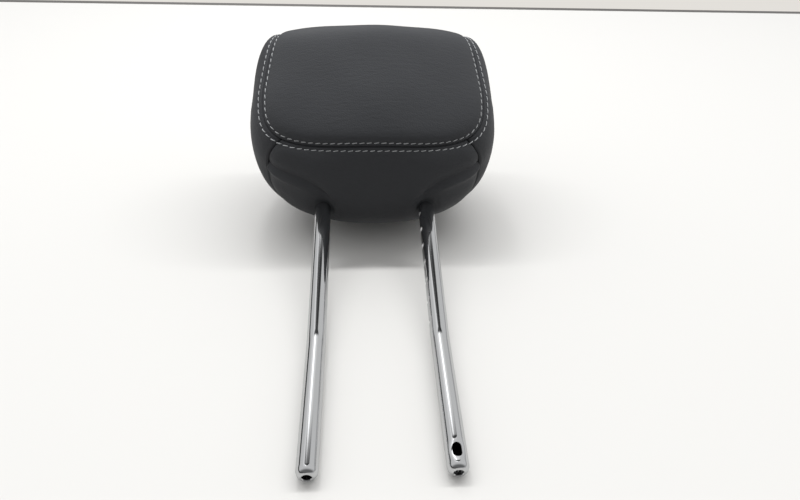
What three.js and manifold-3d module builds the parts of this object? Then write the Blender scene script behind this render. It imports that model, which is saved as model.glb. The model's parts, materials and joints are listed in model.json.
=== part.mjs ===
// A car headrest: a stitched leather cushion on two chromed posts that are one bent tube.
// Millimetres, +Z up along the notched run of the posts, the cushion's face towards -Y.
// The origin lies midway between the posts, at the foot of the notched run.
import * as THREE from 'three';
import { mergeVertices } from 'three/addons/utils/BufferGeometryUtils.js';
import Module from 'manifold-3d';

const wasm = await Module();
wasm.setup();

// Posts: one steel tube, bent to a long U, with both ends swaged to a nose.
const tubeDiameter = 14;
const tubeWall = 1.8;
const postSpacing = 92;
const notchedRun = 139.5;
const lowerRun = 100;
const kneeAngle = 10;
const kneeRadius = 60;
const insertedRun = 80;
const crownRadius = 26;
const noseLength = 5;
const noseEndRadius = 3.9;
const noseHoleRadius = 3.05;
const slotWidth = 6;
const slotLength = 10;
const slotHeight = 7.5;
const notchPitch = 18.7;
const notchCount = 7;
const notchDepth = 1.1;
const notchLength = 4.5;
const notchStart = 12;

// Cushion: its own frame leans forward from the posts, with its origin where the posts go in.
const cushionLean = 22;
const faceHalfWidth = 96;
const faceFoot = 25.5;
const faceTop = 171;
const faceBulge = 69.5;
const bodyHalfWidth = 112.5;
const bodyTop = 177;
const backHalfWidth = 101;
const backFoot = 4;
const backTop = 158;
const backBulge = 64.5;
const beltHeight = 80;
const undersideDrop = 27;
const sideTaper = 1330;
const faceSideRadius = 417;
const faceFootRadius = 167;
const faceRiseRadius = 625;
const faceRollHeight = 105;
const faceRollLength = 70;
const faceEdgeDrop = 5;
const backCrest = 62;
const backSideRadius = 385;
const backFootRadius = 147;
const backRiseRadius = 179;
const backEdgeDrop = 4;
const bandRun = 100;
const coverThickness = 3;
const seamDepth = 2.6;
const seamWidth = 5;
const pocketDepth = 7;
const pocketWidth = 12;
const pocketOffset = 5;
const tuckStart = { x: 92, y: -29 };
const tuckEnd = { x: 42, y: -20 };
const tuckDepth = 2.4;
const tuckWidth = 6;
const postHoleRadius = 9;

// Carrier: two moulded half shells that grip the hidden part of the tube.
const carrierHalfWidth = 61;
const carrierFoot = 26;
const carrierTop = 95;
const carrierHalfDepth = 13;
const carrierCorner = 12;
const carrierWall = 3;
const screwShankRadius = 2.2;
const screwHeadRadius = 4.6;
const screwHeadHeight = 3.2;
const screwLength = 20;
const screwSpread = 24;
const screwLow = 38;
const screwHigh = 60;

// Closing strips: two hooked profiles that pull the cover shut along its lower back edge.
const stripLength = 96;
const stripHook = 9;
const stripThickness = 2.4;

// Running clearances and mesh fineness.
const seat = 0.3;
const softSeat = 2.6;
const seamGap = 0.9;
const tubeSides = 20;
const bendSteps = 5;
const turnSteps = 60;

const radians = THREE.MathUtils.degToRad;
const tubeRadius = tubeDiameter / 2;
const boreRadius = tubeRadius - tubeWall;
const knee = radians(kneeAngle);
const lean = radians(cushionLean);

// Solids and their booleans

/** The closed mesh of a geometry, with shared vertices merged. */
function solid(geometry) {
  const bare = geometry.clone();
  bare.deleteAttribute('normal');
  bare.deleteAttribute('uv');
  const merged = mergeVertices(bare, 1e-4);
  const mesh = new wasm.Mesh({
    numProp: 3,
    vertProperties: new Float32Array(merged.attributes.position.array),
    triVerts: new Uint32Array(merged.index.array),
  });
  return new wasm.Manifold(mesh);
}

/** A geometry from a solid that has been cut or joined. */
function fromSolid(body) {
  const mesh = body.getMesh();
  const geometry = new THREE.BufferGeometry();
  geometry.setAttribute('position', new THREE.BufferAttribute(mesh.vertProperties, 3));
  geometry.setIndex(new THREE.BufferAttribute(mesh.triVerts, 1));
  return geometry;
}

/** Turns the faces of a closed geometry outwards when its mapping has turned them in. */
function facingOut(geometry) {
  const position = geometry.attributes.position;
  const index = geometry.index;
  const [a, b, c] = [new THREE.Vector3(), new THREE.Vector3(), new THREE.Vector3()];
  let volume = 0;
  for (let i = 0; i < index.count; i += 3) {
    a.fromBufferAttribute(position, index.getX(i));
    b.fromBufferAttribute(position, index.getX(i + 1));
    c.fromBufferAttribute(position, index.getX(i + 2));
    volume += a.dot(b.cross(c));
  }
  if (volume < 0) {
    for (let i = 0; i < index.count; i += 3) {
      const first = index.getX(i);
      index.setX(i, index.getX(i + 1));
      index.setX(i + 1, first);
    }
  }
  return geometry;
}

/** Moves every vertex of a geometry by a rule, and joins the ones that meet. */
function mapped(geometry, rule) {
  geometry.deleteAttribute('normal');
  geometry.deleteAttribute('uv');
  const merged = mergeVertices(geometry, 1e-5);
  const position = merged.attributes.position;
  const point = new THREE.Vector3();
  for (let i = 0; i < position.count; i++) {
    point.fromBufferAttribute(position, i);
    const moved = rule(point);
    position.setXYZ(i, moved.x, moved.y, moved.z);
  }
  return facingOut(merged);
}

function material(colour, roughness, metalness) {
  return new THREE.MeshStandardMaterial({ color: colour, roughness, metalness });
}

const chrome = material(0xd9dadc, 0.08, 1);
const leather = material(0x2b2c2f, 0.55, 0);
const foam = material(0x55534d, 0.95, 0);
const nylon = material(0x1d1d1e, 0.6, 0);
const steel = material(0x9a9a9a, 0.4, 1);

function piece(name, geometry, finish) {
  const mesh = new THREE.Mesh(geometry, finish);
  mesh.name = name;
  return mesh;
}

// Posts

/** A path of straight runs and bends that is sampled only where it bends. */
class BentPath extends THREE.Curve {
  constructor(stations) {
    super();
    this.stations = stations;
  }

  station(t) {
    return this.stations[Math.round(t * (this.stations.length - 1))];
  }

  getPoint(t, target = new THREE.Vector3()) {
    return target.copy(this.station(t).point);
  }

  getPointAt(t, target = new THREE.Vector3()) {
    return this.getPoint(t, target);
  }

  getTangentAt(t, target = new THREE.Vector3()) {
    return target.copy(this.station(t).tangent);
  }
}

/** Adds a straight run, or a bend about an axis, to the end of a list of stations. */
function walkStraight(stations, length) {
  const last = stations[stations.length - 1];
  const point = last.point.clone().addScaledVector(last.tangent, length);
  stations.push({ point, tangent: last.tangent.clone() });
}

function walkBend(stations, axis, angle, radius, steps) {
  const last = stations[stations.length - 1];
  const side = new THREE.Vector3().crossVectors(axis, last.tangent).normalize();
  const centre = last.point.clone().addScaledVector(side, radius);
  for (let i = 1; i <= steps; i++) {
    const turn = (angle * i) / steps;
    const arm = side.clone().multiplyScalar(-radius).applyAxisAngle(axis, turn);
    const tangent = last.tangent.clone().applyAxisAngle(axis, turn);
    stations.push({ point: centre.clone().add(arm), tangent });
  }
}

/** The tube's centre line, from the left tip up, across the crown and down to the right tip. */
function tubeStations(trim = 0) {
  const half = [];
  const down = new THREE.Vector3(0, 0, 1);
  const across = new THREE.Vector3(1, 0, 0);
  const start = new THREE.Vector3(-postSpacing / 2, 0, 0);
  const kneeHeight = kneeRadius * Math.sin(knee);
  const kneeShift = -kneeRadius * (1 - Math.cos(knee));
  const foot = new THREE.Vector3(0, -Math.sin(knee), -Math.cos(knee));
  const tip = start.clone().add(new THREE.Vector3(0, kneeShift, -kneeHeight));
  tip.addScaledVector(foot, lowerRun - trim);
  half.push({ point: tip, tangent: foot.clone().negate() });
  walkStraight(half, lowerRun - trim);
  walkBend(half, across, knee, kneeRadius, bendSteps);
  half[half.length - 1].tangent.copy(down);
  walkStraight(half, notchedRun + insertedRun - crownRadius);
  walkBend(half, new THREE.Vector3(0, 1, 0), Math.PI / 2, crownRadius, bendSteps);
  const mirrored = half.map(({ point, tangent }) => ({
    point: new THREE.Vector3(-point.x, point.y, point.z),
    tangent: new THREE.Vector3(tangent.x, -tangent.y, -tangent.z),
  }));
  return half.concat(mirrored.reverse());
}

/** A round bar of a given radius along the tube's centre line. */
function tubeBar(radius, trim = 0, sides = tubeSides) {
  const stations = tubeStations(trim);
  const disc = new THREE.Shape();
  for (let i = 0; i < sides; i++) {
    const turn = (2 * Math.PI * (i + 0.5)) / sides;
    const [x, y] = [radius * Math.cos(turn), radius * Math.sin(turn)];
    if (i === 0) {
      disc.moveTo(x, y);
    } else {
      disc.lineTo(x, y);
    }
  }
  disc.closePath();
  return new THREE.ExtrudeGeometry(disc, {
    steps: stations.length - 1,
    extrudePath: new BentPath(stations),
  });
}

/** Places a geometry made along +Y so that it runs down one post from its shoulder. */
function alongTip(geometry, side) {
  const tip = tubeStations()[0];
  const down = tip.tangent.clone().negate();
  const turn = new THREE.Quaternion().setFromUnitVectors(new THREE.Vector3(0, 1, 0), down);
  geometry.applyQuaternion(turn);
  geometry.translate(side * Math.abs(tip.point.x), tip.point.y, tip.point.z);
  return geometry;
}

/** The swaged nose, a quarter-round shoulder that ends in a flat ring. */
function nose(side) {
  const outline = [new THREE.Vector2(0, -2), new THREE.Vector2(tubeRadius, -2)];
  const steps = 5;
  for (let i = 0; i <= steps; i++) {
    const turn = (Math.PI / 2) * (i / steps);
    const radius = noseEndRadius + (tubeRadius - noseEndRadius) * Math.cos(turn);
    outline.push(new THREE.Vector2(radius, noseLength * Math.sin(turn)));
  }
  outline.push(new THREE.Vector2(0, noseLength));
  return alongTip(new THREE.LatheGeometry(outline, tubeSides), side);
}

/** The hole through a nose, into the tube's bore. */
function noseHole(side) {
  const reach = noseLength + 4;
  const hole = new THREE.CylinderGeometry(noseHoleRadius, noseHoleRadius, reach, 20);
  hole.translate(0, noseLength + 1 - reach / 2, 0);
  return alongTip(hole, side);
}

/** The long hole near the right tip, through the front wall only. */
function stopSlot() {
  const outline = new THREE.Shape();
  const half = slotLength / 2 - slotWidth / 2;
  outline.absarc(0, half, slotWidth / 2, 0, Math.PI, false);
  outline.absarc(0, -half, slotWidth / 2, Math.PI, 2 * Math.PI, false);
  const depth = tubeRadius + 2;
  const slot = new THREE.ExtrudeGeometry(outline, { depth, bevelEnabled: false, curveSegments: 8 });
  slot.rotateX(Math.PI / 2);
  const tip = tubeStations()[0];
  slot.rotateX(-knee);
  const centre = tip.point.clone().addScaledVector(tip.tangent, slotHeight);
  slot.translate(Math.abs(centre.x), centre.y, centre.z);
  return slot;
}

/** One locking notch in the right post's inner side: square at its top, ramped below. */
function lockNotch(height) {
  const outline = new THREE.Shape();
  outline.moveTo(-1, 0);
  outline.lineTo(notchDepth, 0);
  outline.lineTo(notchDepth, -notchLength * 0.45);
  outline.lineTo(0, -notchLength);
  outline.lineTo(-1, -notchLength);
  outline.closePath();
  const width = 2 * tubeRadius;
  const notch = new THREE.ExtrudeGeometry(outline, { depth: width, bevelEnabled: false });
  notch.translate(0, 0, -width / 2);
  notch.rotateX(Math.PI / 2);
  notch.translate(postSpacing / 2 - tubeRadius, 0, height);
  return notch;
}

function postTube() {
  let body = solid(tubeBar(tubeRadius));
  for (const side of [-1, 1]) {
    body = body.add(solid(nose(side)));
  }
  body = body.subtract(solid(tubeBar(boreRadius, 1, 12)));
  for (const side of [-1, 1]) {
    body = body.subtract(solid(noseHole(side)));
  }
  body = body.subtract(solid(stopSlot()));
  for (let i = 0; i < notchCount; i++) {
    body = body.subtract(solid(lockNotch(notchStart + i * notchPitch)));
  }
  return fromSolid(body);
}

// Cushion surface. A place on it is a turn about the face's centre and a ring: 0 is the middle of the
// face, 1 the front seam, 2 the back seam and 3 the middle of the back.

const smooth = THREE.MathUtils.smoothstep;
const mix = THREE.MathUtils.lerp;

/** Depth of the face at a place, front negative: a shallow dish turned outwards, rolled at its top. */
function faceDepth(x, w) {
  const above = Math.max(w - faceRollHeight, 0);
  const below = Math.min(w - beltHeight, 0);
  const rise = Math.max(w - beltHeight, 0);
  const dish = x ** 2 / faceSideRadius + below ** 2 / faceFootRadius + rise ** 2 / faceRiseRadius;
  return -faceBulge + dish / 2 + above ** 4 / faceRollLength ** 3;
}

/** Depth of the back at a place: a wider dish that falls away towards the top. */
function backDepth(x, w) {
  const below = Math.min(w - backCrest, 0);
  const rise = Math.max(w - backCrest, 0);
  const dish = x ** 2 / backSideRadius + below ** 2 / backFootRadius + rise ** 2 / backRiseRadius;
  return backBulge - dish / 2;
}

/** Half width, foot, top and corner sharpness of the section at a ring. */
function sectionAt(ring) {
  if (ring <= 1) {
    return { half: faceHalfWidth, foot: faceFoot, top: faceTop, low: 3.5, high: 5.5 };
  }
  if (ring >= 2) {
    return { half: backHalfWidth, foot: backFoot, top: backTop, low: 2.45, high: 3.4 };
  }
  const g = ring - 1;
  const swell = Math.sin(Math.PI * Math.min(g / 0.94, 1) ** 0.8);
  const straight = mix(faceHalfWidth, backHalfWidth, g);
  const underside = mix(faceFoot, backFoot, g) - undersideDrop * Math.sin(Math.PI * g ** 0.9);
  const crown = mix(faceTop, backTop, g) + (bodyTop - (faceTop + backTop) / 2) * Math.sin(Math.PI * g ** 0.85);
  return {
    half: straight + (bodyHalfWidth - (faceHalfWidth + backHalfWidth) / 2) * swell,
    foot: underside,
    top: crown,
    low: mix(3.5, 2.45, smooth(g, 0, 0.6)),
    high: mix(5.5, 3.4, g),
  };
}

/** The section's outline at a turn: a rounded rectangle that narrows a little towards its top. */
function outlineAt(section, turn, scale = 1) {
  const [c, s] = [Math.cos(turn), Math.sin(turn)];
  const height = s < 0 ? beltHeight - section.foot : section.top - beltHeight;
  const power = s < 0 ? section.low : section.high;
  const reach = (Math.abs(c / section.half) ** power + Math.abs(s / height) ** power) ** (-1 / power);
  const taper = 1 - Math.max(reach * s, 0) / sideTaper;
  return { x: scale * reach * c * taper, w: beltHeight + scale * reach * s };
}

/** The smooth cushion surface before seams and tucks, in the cushion's own frame. */
function cushionPoint(turn, ring) {
  if (ring <= 1) {
    const { x, w } = outlineAt(sectionAt(0), turn, ring);
    return new THREE.Vector3(x, faceDepth(x, w) + faceEdgeDrop * ring ** 12, w);
  }
  if (ring >= 2) {
    const { x, w } = outlineAt(sectionAt(3), turn, 3 - ring);
    return new THREE.Vector3(x, backDepth(x, w) - backEdgeDrop * (3 - ring) ** 8, w);
  }
  const front = outlineAt(sectionAt(1), turn);
  const rear = outlineAt(sectionAt(2), turn);
  const here = outlineAt(sectionAt(ring), turn);
  const frontDepth = faceDepth(front.x, front.w) + faceEdgeDrop;
  const depth = mix(frontDepth, backDepth(rear.x, rear.w) - backEdgeDrop, ring - 1);
  return new THREE.Vector3(here.x, depth, here.w);
}

/** Outward direction of the surface, taken across a seam's width so that panels meet at a mitre. */
function cushionNormal(turn, ring) {
  const across = 0.06;
  const middle = THREE.MathUtils.clamp(ring, across, 3 - across);
  const step = 1e-3;
  const alongTurn = cushionPoint(turn + step, middle).sub(cushionPoint(turn - step, middle));
  const alongRing = cushionPoint(turn, middle + across).sub(cushionPoint(turn, middle - across));
  return alongRing.cross(alongTurn).normalize();
}

/**
 * How far the cover is pulled in: seam grooves, post pockets and the tucks that run to them. The foam
 * under it is relieved along all of them, so it takes a spread above 1.
 */
function pulledIn(point, ring, spread) {
  const frontGap = ring <= 1 ? (1 - ring) * faceHalfWidth : (ring - 1) * bandRun;
  const backGap = ring >= 2 ? (ring - 2) * backHalfWidth : (2 - ring) * bandRun;
  let depth = seamDepth * Math.exp(-((frontGap / seamWidth) ** 2));
  depth += seamDepth * Math.exp(-((backGap / seamWidth) ** 2));
  depth = spread > 1 ? seamDepth : depth;
  if (point.z < beltHeight / 2 && ring > 1 && ring < 2) {
    const x = Math.abs(point.x);
    const reach = Math.hypot(x - postSpacing / 2, (point.y + pocketOffset) * 0.8);
    depth += pocketDepth * spread * Math.exp(-((reach / pocketWidth / spread) ** 2));
    const run = { x: tuckEnd.x - tuckStart.x, y: tuckEnd.y - tuckStart.y };
    const from = { x: x - tuckStart.x, y: point.y - tuckStart.y };
    const share = (from.x * run.x + from.y * run.y) / (run.x ** 2 + run.y ** 2);
    const along = THREE.MathUtils.clamp(share, 0, 1);
    const off = Math.hypot(from.x - along * run.x, from.y - along * run.y);
    depth += tuckDepth * smooth(along, -0.2, 0.4) * Math.exp(-((off / tuckWidth / spread) ** 2));
  }
  return depth;
}

/** A place on the cover or inside it: inset 0 is the leather's outer side. */
function coverPoint(turn, ring, inset, spread = 1) {
  const point = cushionPoint(turn, ring);
  const depth = inset + pulledIn(point, ring, spread);
  return point.addScaledVector(cushionNormal(turn, ring), -depth);
}

/** Turn of the seam that parts the border band from the underside, right-hand side. */
function cornerTurn(ring) {
  return radians(-29.5 - 22 * (ring - 1) ** 1.9);
}

/** The face or the back: a lens that is thick as the cover, spun and laid on the surface. */
function roundPanel(centreRing, edgeRing, rows) {
  const profile = [];
  for (let i = 0; i <= rows; i++) {
    profile.push(new THREE.Vector2((i / rows) ** 0.8, 0));
  }
  for (let i = rows; i >= 0; i--) {
    profile.push(new THREE.Vector2((i / rows) ** 0.8, 1));
  }
  const spun = new THREE.LatheGeometry(profile, turnSteps);
  return mapped(spun, ({ x, y, z }) => {
    const ring = mix(centreRing, edgeRing, Math.hypot(x, z));
    return coverPoint(Math.atan2(z, x), ring, y * coverThickness);
  });
}

/** A strip of cover between the two seams, from one turn to another. */
function stripPanel(fromTurn, toTurn, columns, rows) {
  const edge = seamGap / 2 / bandRun;
  const block = new THREE.BoxGeometry(1, 1, 1, columns, rows, 1);
  return mapped(block, ({ x, y, z }) => {
    const ring = mix(1 + edge, 2 - edge, y + 0.5);
    const turn = mix(fromTurn(ring), toTurn(ring), x + 0.5);
    return coverPoint(turn, ring, (0.5 - z) * coverThickness);
  });
}

/** The moulded foam that fills the cover, before the tube and carrier are let into it. */
function foamBlank() {
  const rows = 16;
  const ball = new THREE.SphereGeometry(1, 48, rows);
  return mapped(ball, ({ x, y, z }) => {
    const ring = (3 * Math.acos(THREE.MathUtils.clamp(y, -1, 1))) / Math.PI;
    return coverPoint(Math.atan2(z, x), ring, coverThickness + softSeat, 1.7);
  });
}

// Frames of the parts inside the cushion

/** Puts a geometry from the cushion's frame into the headrest's. */
function inCushion(geometry) {
  geometry.rotateX(lean);
  geometry.translate(0, 0, notchedRun);
  return geometry;
}

/** A post hole's cutter, straight down from inside the cushion. */
function postHole(side, radius) {
  const hole = new THREE.CylinderGeometry(radius, radius, 80, 24);
  hole.rotateX(Math.PI / 2);
  hole.translate((side * postSpacing) / 2, 0, notchedRun);
  return hole;
}

function undersidePanel() {
  const gap = seamGap / 2 / bodyHalfWidth;
  const right = (ring) => cornerTurn(ring) - gap;
  const left = (ring) => -Math.PI - cornerTurn(ring) + gap;
  let panel = solid(inCushion(stripPanel(left, right, 36, 9)));
  for (const side of [-1, 1]) {
    panel = panel.subtract(solid(postHole(side, postHoleRadius)));
  }
  return fromSolid(panel);
}

function borderBand() {
  const gap = seamGap / 2 / bodyHalfWidth;
  const right = (ring) => cornerTurn(ring) + gap;
  const left = (ring) => Math.PI - cornerTurn(ring) - gap;
  return inCushion(stripPanel(right, left, 44, 9));
}

// Carrier

/** A rectangle with round corners, centred on the carrier. */
function roundedOutline(halfWidth, low, high, corner) {
  const outline = new THREE.Shape();
  outline.absarc(halfWidth - corner, low + corner, corner, -Math.PI / 2, 0, false);
  outline.absarc(halfWidth - corner, high - corner, corner, 0, Math.PI / 2, false);
  outline.absarc(-halfWidth + corner, high - corner, corner, Math.PI / 2, Math.PI, false);
  outline.absarc(-halfWidth + corner, low + corner, corner, Math.PI, (3 * Math.PI) / 2, false);
  return outline;
}

/** A slab cut from an outline in the X-Z plane, between two depths, above the post entries. */
function slab(outline, from, to) {
  const body = new THREE.ExtrudeGeometry(outline, {
    depth: to - from, bevelEnabled: false, curveSegments: 5,
  });
  body.rotateX(Math.PI / 2);
  body.translate(0, to, notchedRun);
  return body;
}

const screwPlaces = [];
for (const height of [screwLow, screwHigh]) {
  for (const side of [-1, 1]) {
    screwPlaces.push({ x: side * screwSpread, z: notchedRun + height });
  }
}

/** A pan-head screw or its clearance hole, driven from the front. */
function screwBody(place, clearance) {
  const headFace = -carrierHalfDepth + 0.5;
  const outline = [
    new THREE.Vector2(0, headFace - clearance * 4),
    new THREE.Vector2(screwHeadRadius + clearance, headFace - clearance * 4),
    new THREE.Vector2(screwHeadRadius + clearance, headFace + screwHeadHeight + clearance),
    new THREE.Vector2(screwShankRadius + clearance, headFace + screwHeadHeight + clearance),
    new THREE.Vector2(screwShankRadius + clearance, headFace + screwLength + clearance),
    new THREE.Vector2(0, headFace + screwLength + clearance),
  ];
  const screw = new THREE.LatheGeometry(outline, 16);
  screw.translate(place.x, 0, place.z);
  return screw;
}

/** One half of the carrier, ribbed on its outer side. */
function carrierHalf(sign) {
  const [from, to] = sign < 0 ? [-carrierHalfDepth, -seat / 2] : [seat / 2, carrierHalfDepth];
  const outline = roundedOutline(carrierHalfWidth, carrierFoot, carrierTop, carrierCorner);
  let body = solid(slab(outline, from, to));
  const pocketHalf = postSpacing / 2 - tubeRadius - 2 * carrierWall;
  const middle = (screwLow + screwHigh) / 2;
  const reach = screwHeadRadius + carrierWall;
  const pockets = [
    [-screwSpread + reach, screwSpread - reach, carrierFoot + carrierWall, middle - carrierWall / 2],
    [-screwSpread + reach, screwSpread - reach, middle + carrierWall / 2, screwHigh + reach],
    [-pocketHalf, -screwSpread + reach - carrierWall, screwLow + reach, screwHigh - reach],
    [screwSpread - reach + carrierWall, pocketHalf, screwLow + reach, screwHigh - reach],
  ];
  for (const [left, right, low, high] of pockets) {
    const hollow = new THREE.Shape();
    hollow.moveTo(left, low);
    hollow.lineTo(right, low);
    hollow.lineTo(right, high);
    hollow.lineTo(left, high);
    hollow.closePath();
    const [near, far] = sign < 0 ? [from - 1, to - carrierWall] : [from + carrierWall, to + 1];
    body = body.subtract(solid(slab(hollow, near, far)));
  }
  body = body.subtract(solid(tubeBar(tubeRadius + seat)));
  for (const place of screwPlaces) {
    body = body.subtract(solid(screwBody(place, seat)));
  }
  return fromSolid(body);
}

// Closing strips, in the cushion's frame just inside its lower back edge

const stripDepth = 36;
const stripFoot = 12;

/** A hooked profile: a web with a lip, and its mate turned half round. */
function stripProfile(turned) {
  const [t, h] = [stripThickness, stripHook];
  const shape = new THREE.Shape();
  shape.moveTo(0, 0);
  shape.lineTo(t, 0);
  shape.lineTo(t, h - t);
  shape.lineTo(2 * t + seat, h - t);
  shape.lineTo(2 * t + seat, h - 2 * t);
  shape.lineTo(3 * t + seat, h - 2 * t);
  shape.lineTo(3 * t + seat, h);
  shape.lineTo(0, h);
  shape.closePath();
  const strip = new THREE.ExtrudeGeometry(shape, { depth: stripLength, bevelEnabled: false });
  strip.translate(0, 0, -stripLength / 2);
  if (turned) {
    strip.rotateZ(Math.PI);
    strip.translate(4 * t + 2 * seat, 2 * h - 3 * t - seat, 0);
  }
  strip.rotateY(Math.PI / 2);
  strip.rotateX(Math.PI / 2);
  strip.rotateX(Math.PI / 2);
  return strip;
}

function closingStrip(turned) {
  const strip = stripProfile(turned);
  strip.translate(0, stripDepth, stripFoot);
  return inCushion(strip);
}

/** The slot for the two strips, open to the underside, as a cutter for the foam. */
function stripRoom() {
  let room = null;
  for (const turned of [false, true]) {
    const geometry = closingStrip(turned);
    geometry.computeBoundingBox();
    const box = geometry.boundingBox.clone().expandByScalar(seat);
    box.min.z -= 30;
    const size = box.getSize(new THREE.Vector3());
    const centre = box.getCenter(new THREE.Vector3());
    const block = new THREE.BoxGeometry(size.x, size.y, size.z);
    block.translate(centre.x, centre.y, centre.z);
    room = room ? room.add(solid(block)) : solid(block);
  }
  return room;
}

function foamCore() {
  let body = solid(inCushion(foamBlank()));
  body = body.subtract(solid(tubeBar(tubeRadius + seat)));
  for (const side of [-1, 1]) {
    body = body.subtract(solid(postHole(side, tubeRadius + seat)));
  }
  const outline = roundedOutline(
    carrierHalfWidth + seat, carrierFoot - seat, carrierTop + seat, carrierCorner);
  body = body.subtract(solid(slab(outline, -carrierHalfDepth - seat, carrierHalfDepth + seat)));
  body = body.subtract(stripRoom());
  return fromSolid(body);
}

const headrest = new THREE.Group();
const edge = seamGap / 2 / faceHalfWidth;
headrest.add(piece('post_tube', postTube(), chrome));
headrest.add(piece('carrier_front', carrierHalf(-1), nylon));
headrest.add(piece('carrier_rear', carrierHalf(1), nylon));
screwPlaces.forEach((place, i) => {
  headrest.add(piece(`carrier_screw_${i + 1}`, screwBody(place, 0), steel));
});
headrest.add(piece('foam_core', foamCore(), foam));
headrest.add(piece('closing_strip_lower', closingStrip(false), nylon));
headrest.add(piece('closing_strip_upper', closingStrip(true), nylon));
headrest.add(piece('face_panel', inCushion(roundPanel(0, 1 - edge, 8)), leather));
headrest.add(piece('border_band', borderBand(), leather));
headrest.add(piece('underside_panel', undersidePanel(), leather));
headrest.add(piece('back_panel', inCushion(roundPanel(3, 2 + edge, 7)), leather));

export default headrest;
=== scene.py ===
"""A car headrest: a stitched leather cushion on two chromed posts, lying on a pale table.

Lengths are millimetres until a mesh is made, where they become metres. The headrest's frame has +Z up
along the notched run of the posts and the cushion's face towards -Y.
"""

from __future__ import annotations

import json
import logging
import math
from dataclasses import dataclass
from enum import Enum
from typing import Callable, Union

import bmesh
import bpy
import numpy as np
from mathutils import Matrix, Vector

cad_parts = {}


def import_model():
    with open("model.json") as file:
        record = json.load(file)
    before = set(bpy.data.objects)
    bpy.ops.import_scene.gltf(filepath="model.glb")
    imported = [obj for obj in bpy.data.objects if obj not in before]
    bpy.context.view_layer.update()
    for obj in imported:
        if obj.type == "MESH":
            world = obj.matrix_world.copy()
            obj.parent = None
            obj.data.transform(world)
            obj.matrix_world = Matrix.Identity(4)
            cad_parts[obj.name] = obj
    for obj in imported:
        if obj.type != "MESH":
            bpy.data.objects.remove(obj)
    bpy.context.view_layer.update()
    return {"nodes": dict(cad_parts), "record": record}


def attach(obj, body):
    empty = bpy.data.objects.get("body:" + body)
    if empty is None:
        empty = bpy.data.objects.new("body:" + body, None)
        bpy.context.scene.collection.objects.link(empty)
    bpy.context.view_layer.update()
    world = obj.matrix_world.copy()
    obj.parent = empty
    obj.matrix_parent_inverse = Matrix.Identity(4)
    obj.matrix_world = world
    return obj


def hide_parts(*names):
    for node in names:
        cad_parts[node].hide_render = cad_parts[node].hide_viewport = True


log = logging.getLogger("headrest")

MM = 0.001
Array = np.ndarray
Colour = tuple[float, float, float]


class Node(str, Enum):
    """The nodes of the frame that the scene dresses."""

    TUBE = "post_tube"
    FACE = "face_panel"
    BAND = "border_band"
    UNDERSIDE = "underside_panel"
    BACK = "back_panel"


class Slot(str, Enum):
    """The record's material slots."""

    CHROME = "chromed_tube"
    LEATHER = "cover_leather"
    FOAM = "cushion_foam"
    PLASTIC = "carrier_plastic"
    STEEL = "screw_steel"


# Shader maths


Value = Union["Socket", float]


class Socket:
    """A node's output that takes part in plain arithmetic."""

    def __init__(self, bench: "Bench", output: bpy.types.NodeSocket) -> None:
        """Wraps one output of a node on a bench."""
        self.bench = bench
        self.output = output

    def _maths(self, operation: str, first: Value, second: Value) -> "Socket":
        """Adds one Math node and returns its result."""
        return self.bench.node("ShaderNodeMath", {"operation": operation}, {0: first, 1: second})

    def __add__(self, other: Value) -> "Socket":
        """Adds a value or socket."""
        return self._maths("ADD", self, other)

    __radd__ = __add__

    def __sub__(self, other: Value) -> "Socket":
        """Takes a value or socket away."""
        return self._maths("SUBTRACT", self, other)

    def __rsub__(self, other: Value) -> "Socket":
        """Takes this socket away from a value."""
        return self._maths("SUBTRACT", other, self)

    def __mul__(self, other: Value) -> "Socket":
        """Multiplies by a value or socket."""
        return self._maths("MULTIPLY", self, other)

    __rmul__ = __mul__

    def __pow__(self, other: Value) -> "Socket":
        """Raises to a power."""
        return self._maths("POWER", self, other)


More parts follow.
